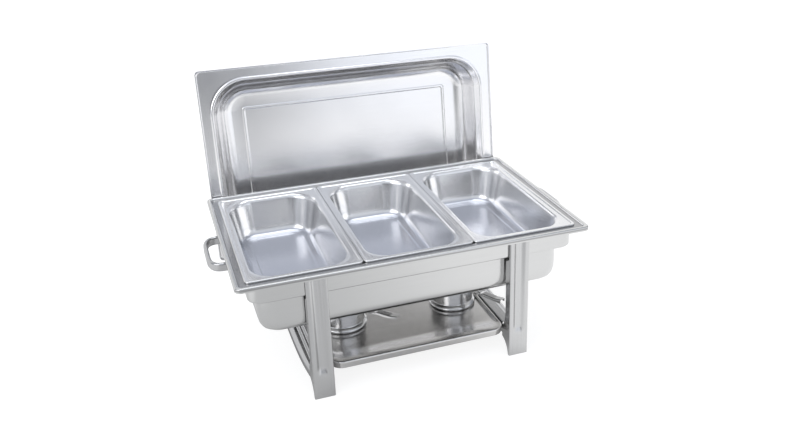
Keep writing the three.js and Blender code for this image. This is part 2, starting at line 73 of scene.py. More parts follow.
def soften(points, steps=BEND_STEPS):
    """An open line of (coordinates, bend) points, turned round each corner over its bend.

    Points with four coordinates are (inset X, inset Y, height, corner radius) of a pressed piece,
    and their bends are measured in its section along X.
    """
    corners = [np.array(p[:-1], float) for p in points]
    line = []
    for i, (corner, bend) in enumerate(zip(corners, [p[-1] for p in points])):
        if bend <= 0 or i in (0, len(corners) - 1):
            line.append(corner)
            continue
        ends = []
        for other in (corners[i - 1], corners[i + 1]):
            away = other - corner
            in_section = away if len(away) < 4 else away[[0, 2]]
            reach = math.hypot(*in_section) or np.linalg.norm(away)
            ends.append(corner + away * min(bend / max(reach, TINY), LARGEST_BEND))
        for step in range(steps + 1):
            t = step / steps
            line.append((1 - t) ** 2 * ends[0] + 2 * t * (1 - t) * corner + t * t * ends[1])
    return line


def rounded_ring(half_x, half_y, radius, steps=CORNER_STEPS):
    """Rounded rectangle, counterclockwise."""
    least = 0.02
    radius = max(min(radius, half_x - least / 2, half_y - least / 2), least)
    ring = []
    for quarter, (sx, sy) in enumerate([(1, -1), (1, 1), (-1, 1), (-1, -1)]):
        for step in range(steps + 1):
            angle = (quarter - 1 + step / steps) * math.pi / 2
            ring.append((sx * (half_x - radius) + radius * math.cos(angle),
                         sy * (half_y - radius) + radius * math.sin(angle)))
    return ring


def skin(rings, closed=False):
    """Skin over a row of rings with equal counts of points, capped at both ends unless closed."""
    count, rows = len(rings[0]), len(rings)
    points = [tuple(p) for ring in rings for p in ring]
    faces = []
    for row in range(rows if closed else rows - 1):
        low, high = row * count, (row + 1) % rows * count
        for i in range(count):
            n = (i + 1) % count
            faces.append((low + i, low + n, high + n, high + i))
    if not closed:
        faces.append(tuple(reversed(range(count))))
        faces.append(tuple(range((rows - 1) * count, rows * count)))
    return np.array(points, float), faces


def pressed(half_x, half_y, profile, centre=(0, 0)):
    """Pressed pan, lid or tray from (inset, height, corner radius, bend) points; a fifth number is
    the inset along Y where it differs."""
    full = [(p[0], p[4] if len(p) > 4 else p[0], p[1], p[2], p[3]) for p in profile]
    rings = []
    for inset_x, inset_y, z, corner in soften(full):
        ring = rounded_ring(half_x - inset_x, half_y - inset_y, corner)
        rings.append([(x + centre[0], y + centre[1], z) for x, y in ring])
    return skin(rings)


def spun(line, segments, closed=False):
    """Round skin about the upright axis from a line of (radius, height) points."""
    turns = [2 * math.pi * i / segments for i in range(segments)]
    rings = [[(radius * math.cos(a), radius * math.sin(a), z) for a in turns] for radius, z in line]
    return skin(rings, closed)


def turned(profile, segments):
    """Solid round piece from (radius, height, bend) points, capped at both ends."""
    return spun(soften(profile), segments)


def offset_line(line, distance):
    """A flat line moved sideways, to its left for a positive distance."""
    line = np.array(line, float)
    along = np.diff(line, axis=0)
    normals = np.stack([-along[:, 1], along[:, 0]], 1)
    normals /= np.maximum(np.linalg.norm(normals, axis=1, keepdims=True), TINY)
    at_points = np.vstack([normals[:1], normals[:-1] + normals[1:], normals[-1:]])
    at_points /= np.maximum(np.linalg.norm(at_points, axis=1, keepdims=True), TINY)
    beside = np.vstack([normals, normals[-1:]])
    stretch = 1 / np.maximum((at_points * beside).sum(1, keepdims=True), SHARPEST_MITRE)
    return line + distance * at_points * stretch


def sheet_section(line, thickness):
    """Closed outline of a folded sheet from the line of one of its faces."""
    other = offset_line(line, thickness)
    return np.vstack([np.array(line), other[::-1]])


def strap(path, across, width, thick, edge):
    """Flat strap bent along a path of (x, y, z, bend) points, with rounded edges."""
    path = np.array(soften(path, STRAP_BEND_STEPS))
    across = np.array(across, float)
    section = rounded_ring(thick / 2, width / 2, edge, BEND_STEPS)
    along = np.gradient(path, axis=0)
    rings = []
    for point, direction in zip(path, along):
        direction = direction / np.linalg.norm(direction)
        out = np.cross(across, direction)
        rings.append([point + a * out + b * across for a, b in section])
    return skin(rings)


def plate(outline, low, high, edge=0.3):
    """Flat plate with rounded-over edges, from a counterclockwise outline."""
    outline = np.array(outline, float)
    loop = np.vstack([outline[-1:], outline, outline[:1]])
    inner = offset_line(loop, edge)[1:-1]
    levels = [(inner, low), (outline, low + edge), (outline, high - edge), (inner, high)]
    return skin([[(x, y, z) for x, y in ring] for ring, z in levels])


def moved(part, matrix):
    points, faces = part
    spin = np.array(matrix)
    return points @ spin[:3, :3].T + spin[:3, 3], faces


def signed_volume(points, faces):
    total = 0.0
    for face in faces:
        ring = points[list(face)]
        total += np.einsum("ij,ij->", np.cross(ring[1:-1] - ring[0], ring[2:] - ring[0]),
                           np.broadcast_to(ring[0], (len(face) - 2, 3)))
    return total


def make_mesh(name, parts, material):
    """One mesh, in metres, of parts drawn in millimetres, every part facing out."""
    points, faces = [], []
    start = 0
    for part_points, part_faces in parts:
        if signed_volume(part_points, part_faces) < 0:
            part_faces = [tuple(reversed(f)) for f in part_faces]
        points.extend(map(tuple, part_points * MM))
        faces.extend(tuple(i + start for i in f) for f in part_faces)
        start += len(part_points)
    mesh = bpy.data.meshes.new(name)
    mesh.from_pydata(points, [], faces)
    mesh.polygons.foreach_set("use_smooth", [True] * len(faces))
    mesh.set_sharp_from_angle(angle=SMOOTH_ANGLE)
    mesh.materials.append(material)
    return mesh


def flatten(piece):
    """Swaps a piece's mesh for what its modifiers make of it, and removes them."""
    evaluated = piece.evaluated_get(bpy.context.evaluated_depsgraph_get())
    mesh = bpy.data.meshes.new_from_object(evaluated)
    piece.modifiers.clear()
    piece.data = mesh
    mesh.name = piece.name


FLAT_FACE_WEIGHT = 80  # percent; large faces set the shading normals of the bends beside them


def add_piece(name, parts, body, nodes, material):
    piece = bpy.data.objects.new(name, make_mesh(name, parts, material))
    bpy.context.scene.collection.objects.link(piece)
    weighted = piece.modifiers.new("flat faces stay flat", "WEIGHTED_NORMAL")
    weighted.mode = "FACE_AREA"
    weighted.weight = FLAT_FACE_WEIGHT
    weighted.keep_sharp = True
    flatten(piece)
    return settle(piece, body, nodes)


def settle(piece, body, nodes):
    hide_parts(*nodes)
    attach(piece, body)
    return piece


# ------------------------------------------------------------------ finishes

def new_group(name, kind, inputs, outputs):
    group = bpy.data.node_groups.new(name, kind)
    for label, socket, value in inputs:
        made = group.interface.new_socket(name=label, in_out="INPUT", socket_type=socket)
        if value is not None:
            made.default_value = value
    for label, socket in outputs:
        group.interface.new_socket(name=label, in_out="OUTPUT", socket_type=socket)
    return group, group.nodes.new("NodeGroupInput"), group.nodes.new("NodeGroupOutput")


def math_node(tree, operation, *values):
    node = tree.nodes.new("ShaderNodeMath")
    node.operation = operation
    for i, value in enumerate(values):
        if isinstance(value, (int, float)):
            node.inputs[i].default_value = value
        else:
            tree.links.new(value, node.inputs[i])
    return node.outputs[0]


def noise_node(tree, vector, scale, detail, roughness):
    node = tree.nodes.new("ShaderNodeTexNoise")
    tree.links.new(vector, node.inputs["Vector"])
    for label, value in (("Scale", scale), ("Detail", detail), ("Roughness", roughness)):
        if isinstance(value, (int, float)):
            node.inputs[label].default_value = value
        else:
            tree.links.new(value, node.inputs[label])
    return node.outputs["Fac"]


def fade(tree, source, start, end, at_start=0.0, at_end=1.0):
    """Eases from one value to another between two levels of its source."""
    node = tree.nodes.new("ShaderNodeMapRange")
    node.interpolation_type = "SMOOTHSTEP"
    tree.links.new(source, node.inputs["Value"])
    labels = ("From Min", "From Max", "To Min", "To Max")
    for label, value in zip(labels, (start, end, at_start, at_end)):
        node.inputs[label].default_value = value
    return node.outputs["Result"]


def stretched(tree, scale, turn=(0, 0, 0)):
    """Object coordinates turned and stretched; scale is three numbers or a socket."""
    place = tree.nodes.new("ShaderNodeTexCoord")
    mapping = tree.nodes.new("ShaderNodeMapping")
    tree.links.new(place.outputs["Object"], mapping.inputs["Vector"])
    mapping.inputs["Rotation"].default_value = turn
    if isinstance(scale, tuple):
        mapping.inputs["Scale"].default_value = scale
    else:
        tree.links.new(scale, mapping.inputs["Scale"])
    return mapping.outputs[0]


def build_brush_lines():
    """Fine parallel lines left by the polishing belt."""
    group, inside, out = new_group(
        "brush_lines", "ShaderNodeTree",
        [("Stretch", "NodeSocketVector", (6, 6, 900)), ("Contrast", "NodeSocketFloat", 0.2)],
        [("Tone", "NodeSocketFloat"), ("Height", "NodeSocketFloat")])
    vector = stretched(group, inside.outputs["Stretch"])
    fine = noise_node(group, vector, 1.0, 4.0, 0.65)
    centred = math_node(group, "SUBTRACT", fine, 0.5)
    tone = math_node(group, "MULTIPLY_ADD", centred, inside.outputs["Contrast"], 1.0)
    group.links.new(tone, out.inputs["Tone"])
    group.links.new(fine, out.inputs["Height"])
    return group


def build_sheet_unevenness():
    """The slow waves that pressing leaves in a flat sheet."""
    group, inside, out = new_group(
        "sheet_unevenness", "ShaderNodeTree",
        [("Waves Per Metre", "NodeSocketFloat", 9.0)],
        [("Height", "NodeSocketFloat")])
    vector = stretched(group, (1.0, 1.0, 1.0))
    wave = noise_node(group, vector, inside.outputs["Waves Per Metre"], 1.0, 0.4)
    group.links.new(wave, out.inputs["Height"])
    return group


def build_handling_marks():
    """Wiped smudges that dull the steel in patches, and hairline scratches in two directions."""
    group, inside, out = new_group(
        "handling_marks", "ShaderNodeTree",
        [("Smudge", "NodeSocketFloat", 0.06), ("Scratch", "NodeSocketFloat", 0.1)],
        [("Roughness", "NodeSocketFloat"), ("Height", "NodeSocketFloat"),
         ("Shade", "NodeSocketFloat")])
    cloud = noise_node(group, stretched(group, (1.0, 1.0, 1.0)), 16.0, 5.0, 0.6)
    patch = math_node(group, "SUBTRACT", cloud, 0.42)
    dulled = math_node(group, "MULTIPLY", patch, inside.outputs["Smudge"])
    group.links.new(dulled, out.inputs["Roughness"])
    lines = []
    for turn in ((0.2, 0.1, 0.6), (0.1, 0.3, -0.9)):
        hair = noise_node(group, stretched(group, (26.0, 2600.0, 2600.0), turn), 1.0, 2.0, 0.4)
        lines.append(math_node(group, "GREATER_THAN", hair, 0.69))
    both = math_node(group, "MAXIMUM", lines[0], lines[1])
    height = math_node(group, "MULTIPLY", both, inside.outputs["Scratch"])
    group.links.new(height, out.inputs["Height"])
    group.links.new(math_node(group, "MULTIPLY_ADD", both, -0.05, 1.0), out.inputs["Shade"])
    return group


BRUSH_LINES = build_brush_lines()
SHEET_UNEVENNESS = build_sheet_unevenness()
HANDLING_MARKS = build_handling_marks()


def painted_shade_band(tree, colour, height, reach, *tone):
    """Paints shade into the steel's colour within a little reach above and below one height."""
    place = tree.nodes.new("ShaderNodeTexCoord")
    split = tree.nodes.new("ShaderNodeSeparateXYZ")
    tree.links.new(place.outputs["Object"], split.inputs[0])
    away = math_node(tree, "ABSOLUTE", math_node(tree, "SUBTRACT", split.outputs["Z"], height * MM))
    shades = tree.nodes.new("ShaderNodeMix")
    shades.data_type = "RGBA"
    tree.links.new(fade(tree, away, reach * MM, reach * MM * 0.4), shades.inputs["Factor"])
    shades.inputs["A"].default_value = (1, 1, 1, 1)
    shades.inputs["B"].default_value = (*tone, 1)
    product = tree.nodes.new("ShaderNodeVectorMath")
    product.operation = "MULTIPLY"
    tree.links.new(colour, product.inputs[0])
    tree.links.new(shades.outputs["Result"], product.inputs[1])
    return product.outputs[0]


def steel(name, colour, roughness, stretch, contrast, wave_depth, line_depth,
          waves=9.0, smudge=0.08, scratch=0.1, band=None):
    """Stainless steel: belt lines, slow waves, smudges and hairlines over a bare metal shader."""
    material = bpy.data.materials.new(name)
    material.use_nodes = True
    tree = material.node_tree
    shader = tree.nodes["Principled BSDF"]
    shader.inputs["Metallic"].default_value = 1.0
    groups = {}
    for key, group in (("lines", BRUSH_LINES), ("waves", SHEET_UNEVENNESS),
                       ("marks", HANDLING_MARKS)):
        groups[key] = tree.nodes.new("ShaderNodeGroup")
        groups[key].node_tree = group
    groups["lines"].inputs["Stretch"].default_value = stretch
    groups["lines"].inputs["Contrast"].default_value = contrast
    groups["waves"].inputs["Waves Per Metre"].default_value = waves
    groups["marks"].inputs["Smudge"].default_value = smudge
    groups["marks"].inputs["Scratch"].default_value = scratch
    shade = math_node(tree, "MULTIPLY",
                      groups["lines"].outputs["Tone"], groups["marks"].outputs["Shade"])
    tint = tree.nodes.new("ShaderNodeVectorMath")
    tint.operation = "SCALE"
    tint.inputs[0].default_value = colour
    tree.links.new(shade, tint.inputs["Scale"])
    toned = tint.outputs[0]
    # A band paints shade into the base colour at one height; it stands in for occlusion and
    # mirrored shade.
    if band:
        toned = painted_shade_band(tree, toned, *band)
    tree.links.new(toned, shader.inputs["Base Color"])
    dulled = math_node(tree, "ADD", groups["marks"].outputs["Roughness"], roughness)
    tree.links.new(dulled, shader.inputs["Roughness"])
    fine = math_node(tree, "ADD",
                     groups["lines"].outputs["Height"], groups["marks"].outputs["Height"])
    normal = None
    for height, depth in ((groups["waves"].outputs["Height"], wave_depth), (fine, line_depth)):
        bump = tree.nodes.new("ShaderNodeBump")
        bump.inputs["Strength"].default_value = 1.0
        bump.inputs["Distance"].default_value = depth * MM
        tree.links.new(height, bump.inputs["Height"])
        if normal:
            tree.links.new(normal, bump.inputs["Normal"])
        normal = bump.outputs["Normal"]
    tree.links.new(normal, shader.inputs["Normal"])
    return material


# Each steel has its colour, its roughness, the stretch of its belt lines along X, Y and Z, their
# contrast, and the depth in millimetres of its slow waves and of its lines. A band is a height and
# a reach in millimetres, and the darker colour of painted shade there, standing in for occlusion.
# The band paints a darker, bluish shade onto the food pan floors.
MIRROR_PAN = steel("polished_pan_steel", (0.76, 0.76, 0.765), 0.21, (700, 30, 700),
                   0.03, 0.8, 0.002, band=(151, 9, 0.74, 0.76, 0.82))
# The band paints a dark shade line at the water pan's ledge, where the food pans rest.
SATIN_PAN = steel("satin_pan_steel", (0.62, 0.62, 0.615), 0.15, (4, 600, 600),
                  0.07, 0.8, 0.004, band=(214.6, 2.0, 0.60, 0.60, 0.61))
SATIN_LID = steel("satin_lid_steel", (0.92, 0.915, 0.92), 0.20, (4, 600, 600),
                  0.05, 0.9, 0.004, waves=6.0)
UPRIGHT_BRUSHED = steel("upright_brushed_steel", (0.56, 0.56, 0.56), 0.24, (520, 520, 6),
                        0.16, 0.3, 0.010)
LEVEL_BRUSHED = steel("level_brushed_steel", (0.50, 0.50, 0.505), 0.20, (520, 6, 520),
                      0.16, 0.3, 0.010)
SHELF_STEEL = steel("brushed_shelf_steel", (0.70, 0.69, 0.68), 0.20, (5, 480, 480),
                    0.30, 0.5, 0.012)
CUP_STEEL = steel("polished_cup_steel", (0.64, 0.64, 0.64), 0.21, (6, 6, 520), 0.16, 0.2, 0.006)
LEVER_STEEL = steel("stamped_lever_steel", (0.66, 0.66, 0.66), 0.18, (300, 300, 300),
                    0.12, 0.2, 0.006)
RIVET_STEEL = steel("rivet_steel", (0.68, 0.68, 0.70), 0.2, (200, 200, 200), 0.1, 0.1, 0.004)


# ------------------------------------------------------------------ camera and studio

MIDDLE_Y = centre_mm("burner_shelf")[1]      # the stand's middle, between its four feet


def add_camera():
    """Camera in front of the dish, to the left and above, aimed a little right of its middle."""
    distance = 1.42912                        # metres from the point it is aimed at
    azimuth, elevation, roll = (math.radians(a) for a in (-19.38, 22.22, -1.37))
    back = Vector((math.sin(azimuth) * math.cos(elevation),
                   -math.cos(azimuth) * math.cos(elevation), math.sin(elevation)))
    right = Vector((math.cos(azimuth), math.sin(azimuth), 0))
    up = back.cross(right)
    turned_right = right * math.cos(roll) + up * math.sin(roll)
    turned_up = up * math.cos(roll) - right * math.sin(roll)
    camera = bpy.data.objects.new("camera", bpy.data.cameras.new("camera"))
    bpy.context.scene.collection.objects.link(camera)
    aim = Vector((74.68, MIDDLE_Y, 238.54)) * MM
    camera.matrix_world = Matrix.Translation(aim + back * distance) @ Matrix(
        (turned_right, turned_up, back)).transposed().to_4x4()
    camera.data.sensor_width = 36
    camera.data.lens = 38.566
    camera.data.shift_x = -0.04822
    camera.data.shift_y = -0.03383
    bpy.context.scene.camera = camera


PAPER_GLOW = 0.84


def paper_glow(tree, socket):
    """Paper that looks evenly lit, but is mirrored in shade on the left and under the dish."""
    place = tree.nodes.new("ShaderNodeTexCoord")
    split = tree.nodes.new("ShaderNodeSeparateXYZ")
    tree.links.new(place.outputs["Object"], split.inputs[0])
    radius = tree.nodes.new("ShaderNodeVectorMath")
    radius.operation = "LENGTH"
    tree.links.new(place.outputs["Object"], radius.inputs[0])
    # Distances are metres from the middle of the dish; the last two numbers are shares of the glow.
    near = fade(tree, radius.outputs["Value"], 0.20, 0.32, 0.30, 1.0)
    slanted = math_node(tree, "MULTIPLY_ADD", split.outputs["Y"], 0.12, split.outputs["X"])
    left_to_right = fade(tree, slanted, -0.26, 0.22, 0.54, 1.04)
    far_left = fade(tree, split.outputs["X"], -0.38, -0.62, 0.0, 0.85)
    across = math_node(tree, "MAXIMUM", left_to_right, far_left)
    mirrored = math_node(tree, "MULTIPLY", near, across)
    mirrored = math_node(tree, "MULTIPLY", mirrored, PAPER_GLOW)
    direct = tree.nodes.new("ShaderNodeLightPath").outputs["Is Camera Ray"]
    lost = math_node(tree, "SUBTRACT", PAPER_GLOW, mirrored)
    tree.links.new(math_node(tree, "MULTIPLY_ADD", direct, lost, mirrored), socket)


def add_sweep():
    """Pale paper that runs under the dish and rises behind it."""
    paper = bpy.data.materials.new("studio_paper")
    paper.use_nodes = True
    shader = paper.node_tree.nodes["Principled BSDF"]
    shader.inputs["Base Color"].default_value = (0.28, 0.28, 0.28, 1)
    shader.inputs["Roughness"].default_value = 0.9
    shader.inputs["Specular IOR Level"].default_value = 0.1
    shader.inputs["Emission Color"].default_value = (1, 1, 1, 1)
    paper_glow(paper.node_tree, shader.inputs["Emission Strength"])
    half_width, sag = 5, 0.0005          # metres; the sag keeps the paper clear of the feet
    line = soften([(-5.5, 0, 0), (1.9, 0, 0.8), (2.5, 3.2, 0)], 16)
    points = [(x, y, z) for y, z in line for x in (-half_width, half_width)]
    faces = [(2 * i, 2 * i + 1, 2 * i + 3, 2 * i + 2) for i in range(len(line) - 1)]
    mesh = bpy.data.meshes.new("studio_sweep")
    mesh.from_pydata(points, [], faces)
    mesh.polygons.foreach_set("use_smooth", [True] * len(faces))
    mesh.materials.append(paper)
    sweep = bpy.data.objects.new("studio_sweep", mesh)
    sweep.location.z = -sag
    bpy.context.scene.collection.objects.link(sweep)


def add_room():
    """Grey room, lighter above and in front, seen by direction; X is right, Y back and Z up."""
    world = bpy.data.worlds.new("studio_room")
    bpy.context.scene.world = world
    world.use_nodes = True
    tree = world.node_tree
    place = tree.nodes.new("ShaderNodeTexCoord")
    split = tree.nodes.new("ShaderNodeSeparateXYZ")
    tree.links.new(place.outputs["Generated"], split.inputs[0])
    lift = math_node(tree, "MULTIPLY_ADD", split.outputs["Z"], 0.30, 0.42)
    front = math_node(tree, "MULTIPLY_ADD", split.outputs["Y"], -0.40, lift)
    side = math_node(tree, "MULTIPLY_ADD", split.outputs["X"], -0.15, front)
    ramp = tree.nodes.new("ShaderNodeValToRGB")
    ramp.color_ramp.elements[0].position = 0.1
    ramp.color_ramp.elements[0].color = (0.20, 0.21, 0.23, 1)
    ramp.color_ramp.elements[1].position = 0.9
    ramp.color_ramp.elements[1].color = (0.88, 0.92, 1.0, 1)
    tree.links.new(side, ramp.inputs[0])
    # In front, a bright panel stands to the right of a dark gap.
    ahead = fade(tree, split.outputs["Y"], -0.6, -0.85)
    level = math_node(tree, "MULTIPLY", ahead, fade(tree, split.outputs["Z"], 0.45, 0.15))
    gap = fade(tree, split.outputs["X"], 0.30, 0.08)
    panel = math_node(tree, "MULTIPLY_ADD", gap, -1.40, 0.60)
    factor = math_node(tree, "MULTIPLY_ADD", level, panel, 1.0)
    lit = tree.nodes.new("ShaderNodeVectorMath")
    lit.operation = "SCALE"
    tree.links.new(ramp.outputs[0], lit.inputs[0])
    tree.links.new(factor, lit.inputs["Scale"])
    tree.links.new(lit.outputs[0], tree.nodes["Background"].inputs["Color"])
    tree.nodes["Background"].inputs["Strength"].default_value = 0.9


def add_softbox(name, place, size, power, colour):
    """Soft box of a size in metres and a power in watts, aimed at the middle of the dish."""
    lamp = bpy.data.lights.new(name, "AREA")
    lamp.shape = "RECTANGLE"
    lamp.size, lamp.size_y = size
    lamp.energy = power
    lamp.color = colour
    holder = bpy.data.objects.new(name, lamp)
    bpy.context.scene.collection.objects.link(holder)
    holder.location = place
    aim = Vector((0, 0, 0.2))
    holder.rotation_euler = (aim - Vector(place)).to_track_quat("-Z", "Y").to_euler()


add_camera()
add_sweep()
add_room()
add_softbox("left_softbox", (-1.9, -1.1, 1.5), (2.0, 1.8), 18, (1.0, 0.99, 0.98))
add_softbox("overhead_softbox", (0.1, 0.1, 2.3), (1.9, 1.2), 13, (0.96, 0.98, 1.0))
add_softbox("right_softbox", (2.0, -0.9, 1.2), (0.6, 1.2), 2, (0.97, 0.98, 1.0))
bpy.context.scene.view_settings.view_transform = "Standard"


# ------------------------------------------------------------------ water pan and handles

def make_water_pan():
    (low_x, low_y, bottom), (high_x, high_y, top) = box_mm("water_pan")
    half_x, half_y = (high_x - low_x) / 2, (high_y - low_y) / 2
    band, wall = 19, 33                  # insets of the upper and lower walls
    step = 178                           # height where the wall steps in
    ledge, lip = top - 3.5, top - 7      # where the pans rest, and the end of the rolled rim
    profile = [
        (66, bottom, 12, 0), (wall, bottom, 30, 29), (wall, step, 32, 5), (band, step, 20, 4),
        (band, ledge - SHEET, 20, 1.5), (SHEET, ledge - SHEET, 8.8, 0.8), (SHEET, lip, 8.8, 0),
        (0, lip, 10, 0.3), (0, top, 10, 2.2), (6, top, 7, 2), (7.6, ledge, 6, 1.2),
        (band + SHEET, ledge, 18.8, 1.5), (band + SHEET, step + SHEET, 18.8, 4),
        (wall + SHEET, step + SHEET, 30.8, 5), (wall + SHEET, bottom + SHEET, 29, 28),
        (66, bottom + SHEET, 12, 0),
    ]
    part = pressed(half_x, half_y, profile, (0, MIDDLE_Y))
    add_piece("pressed_water_pan", [part], "water_pan", ["water_pan"], SATIN_PAN)


def make_carry_handle(end, side):
    """A stout D-shaped bar, welded by two small plates to the upper wall."""
    (low_x, low_y, low_z), (high_x, high_y, high_z) = box_mm(f"carry_handle_{end}")
    thick, plate_thick, plate_length = 6.5, 2, 14
    bend, edge, overlap = 32, 3, 2           # overlap is how far a plate runs in under the bar
    root = min(abs(low_x), abs(high_x))
    foot = (high_y - low_y) / 2
    half = foot - plate_length - thick / 2
    reach = max(abs(low_x), abs(high_x)) - thick / 2
    middle_z, height = (low_z + high_z) / 2, high_z - low_z

    def place(x, y, bend=0):
        return (side * x, MIDDLE_Y + side * y, middle_z, bend)

    path = [place(root, -half), place(reach, -half, bend),
            place(reach, half, bend), place(root, half)]
    parts = [strap(path, (0, 0, 1), height, thick, edge)]
    plate_x = root + plate_thick / 2
    for sign in (-1, 1):
        ends = [place(plate_x, sign * (half - overlap)), place(plate_x, sign * foot)]
        parts.append(strap(ends, (0, 0, 1), height, plate_thick, 0.8))
    add_piece(f"carry_bar_{end}", parts, "water_pan", [f"carry_handle_{end}"],
              LEVEL_BRUSHED)


# ------------------------------------------------------------------ food pans

def make_food_pan(place):
    node = f"food_pan_{place}"
    (low_x, low_y, bottom), (high_x, high_y, top) = box_mm(node)
    half_x, half_y = (high_x - low_x) / 2, (high_y - low_y) / 2
    face = top - 1.7                     # flat of the rim, inside its raised edge
    seat = face - 1
    floor = bottom + 1
    raised = floor + 0.9                 # border of the floor, above the pressed panel
    profile = [
        (44, bottom, 14, 0), (24.8, bottom, 33, 16), (12.3, seat, 43, 7), (0, seat, 7, 0.3),
        (0, top, 7, 1.2), (3.6, top, 6, 1.1), (5, face, 5.5, 1), (13.5, face, 44, 7.5),
        (26, raised, 34, 16), (42, raised, 20, 1.2), (43.4, floor, 19, 1.2), (46, floor, 17, 0),
    ]
    part = pressed(half_x, half_y, profile, ((low_x + high_x) / 2, MIDDLE_Y))
    add_piece(f"deep_{node}", [part], node, [node], MIRROR_PAN)


# ------------------------------------------------------------------ lid

LID_LEAN = math.radians(6.5)
LID_HALF = (272.5, 171.5)
LID_DEPTH = 50
LID_LIP = 4


def lid_placing():
    """From the lid as it lies on the pan, dome up, to the lid parked in its hooks."""
    low, _ = box_mm("lid_shell")
    y = low[1] + LID_HALF[1] * math.sin(LID_LEAN) + LID_LIP * math.cos(LID_LEAN)
    z = low[2] + LID_HALF[1] * math.cos(LID_LEAN) + SHEET * math.sin(LID_LEAN)
    return Matrix.Translation((0, y, z)) @ Matrix.Rotation(-math.pi / 2 - LID_LEAN, 4, "X")


def make_lid():
    inside = LID_DEPTH - SHEET
    bead = 0.9                            # height of the pressed rectangle
    profile = [
        (96, inside, 2, 0), (83, inside, 3, 0.8), (81.5, inside - bead, 4, 0.8),
        (79, inside - bead, 5, 0.8), (77.5, inside, 6, 0.8), (43, inside, 44, 17),
        (31, 8, 54, 4), (27, 4, 57, 2), (24, 0.5, 60, 1.2), (22, -1.4, 61.5, 1),
        (19.5, -1.4, 63.5, 1), (17.5, 0, 65, 1), (2.4, 0, 5, 1), (SHEET, -LID_LIP, 5.8, 0),
        (0, -LID_LIP, 7, 0.2), (0, SHEET, 7, 1.8), (16.9, SHEET, 65, 1), (19.1, -0.2, 63.5, 0.8),
        (21.9, -0.2, 61.5, 0.8), (23.2, 1.3, 60.2, 1), (26.1, 4.8, 58, 2), (30, 8.9, 55, 4),
        (42.1, LID_DEPTH, 45, 17), (77.5, LID_DEPTH, 6, 0.8), (79, LID_DEPTH - bead, 5, 0.8),
        (81.5, LID_DEPTH - bead, 4, 0.8), (83, LID_DEPTH, 3, 0.8), (96, LID_DEPTH, 2, 0),
    ]
    part = moved(pressed(*LID_HALF, profile), lid_placing())
    add_piece("domed_lid", [part], "lid", ["lid_shell"], SATIN_LID)


def make_lid_grip():
    width, thick, half, end, rise = 16, 3, 60.5, 74, 34
    low = LID_DEPTH + 0.3 + thick / 2
    high = low + rise
    path = [(-end, 0, low, 0), (-half, 0, low, 2), (-half, 0, high, 18),
            (half, 0, high, 18), (half, 0, low, 2), (end, 0, low, 0)]
    part = moved(strap(path, (0, 1, 0), width, thick, 1.2), lid_placing())
    add_piece("arched_lid_grip", [part], "lid", ["lid_handle"], LEVEL_BRUSHED)


# ------------------------------------------------------------------ stand

LEG_HALF = 16.5          # half a leg's width
LEG_X = 163.5            # from the middle of the dish to a leg's centre line
GROOVE_END = 37          # height of the groove's rounded lower end
GROOVE_SCOOP = 18        # height over which the groove comes to its full depth
GROOVE_DEPTH = 4


def curve(start, middle, end):
    """Points on a curve that leaves its start and meets its end in line with the middle point."""
    start, middle, end = (np.array(p, float) for p in (start, middle, end))
    return [(1 - t) ** 2 * start + 2 * t * (1 - t) * middle + t * t * end
            for t in np.linspace(0, 1, 11)]


def flange_reach():
    """Depths and heights along a leg's side edge, floor to top."""
    foot = curve((5, 0.5), (9, 20), (28, 24))
    above_bar = curve((28, 44), (17, 54), (16, 76))
    return np.array([(5, 0), *foot, *above_bar, (16, 168), (4.5, 175), (4.5, 213)], float)


def leg_section(height, reach):
    """Outline of a leg at one height: flanges, flat strips and the pressed groove."""
    opened = min(max((height - GROOVE_END) / (GROOVE_SCOOP / 2), 0), 1)
    rise = min(max((height - GROOVE_END) / GROOVE_SCOOP, 0), 1)
    open_width = max(math.sqrt(1 - (1 - opened) ** 2), 0.06)
    depth = GROOVE_DEPTH * rise * rise * (3 - 2 * rise)
    face = [(-LEG_HALF, reach, 0), (-LEG_HALF, 0, 2.2),
            (-10 * open_width, 0, 2), (-5 * open_width, depth, 2),
            (5 * open_width, depth, 2), (10 * open_width, 0, 2),
            (LEG_HALF, 0, 2.2), (LEG_HALF, reach, 0)]
    return sheet_section(soften(face, 4), SHEET)


def make_leg(row, end):
    node = f"leg_{row}_{end}"
    low, high = box_mm(node)
    edge = flange_reach()
    scoop = np.linspace(GROOVE_END, GROOVE_END + GROOVE_SCOOP, 15)
    ends = [0, 0.6, high[2] - 0.6]
    heights = sorted(set(np.round(np.concatenate([edge[:, 1], scoop, ends]), 2)))
    heights = [h for h in heights if h < high[2]] + [high[2]]
    facing = 1 if row == "front" else -1
    face_y = low[1] if row == "front" else high[1]
    rings = []
    for height in heights:
        reach = float(np.interp(height, edge[:, 1], edge[:, 0]))
        rings.append([((low[0] + high[0]) / 2 + facing * x, face_y + facing * y, height)
                      for x, y in leg_section(height, reach)])
    add_piece(f"channel_{node}", [skin(rings)], "stand", [node], UPRIGHT_BRUSHED)


def make_end_bar(end, side):
    node = f"end_bar_{end}"
    low, high = box_mm(node)
    half = (high[1] - low[1]) / 2
    centre_x = side * LEG_X
    step, bulge = 6, 5.5                 # drop of each rib, and the bar's swell at its middle
    bottom, top = low[2], high[2]
    rings = []
    stations = [-half, -half + 0.5, *np.linspace(-half + 6, half - 6, 29), half - 0.5, half]
    for y in stations:
        swell = bulge * (1 - abs(y / half) ** 3.2)
        outer = [(-LEG_HALF, bottom + 6, 0), (-LEG_HALF, top, 1.6), (1.2, top, 1.8),
                 (3.6, top - step, 1.4), (7.2, top - step, 1.4), (9.8, top - 2 * step, 1.4),
                 (13 + swell / 2, top - 2 * step, 1.6), (LEG_HALF + swell, top - 3 * step, 2.2),
                 (LEG_HALF + swell, bottom, 0)]
        section = sheet_section(soften(outer, 4), -SHEET)
        rings.append([(centre_x + side * x, MIDDLE_Y + y, z) for x, z in section])
    add_piece(f"ribbed_{node}", [skin(rings)], "stand", [node], LEVEL_BRUSHED)


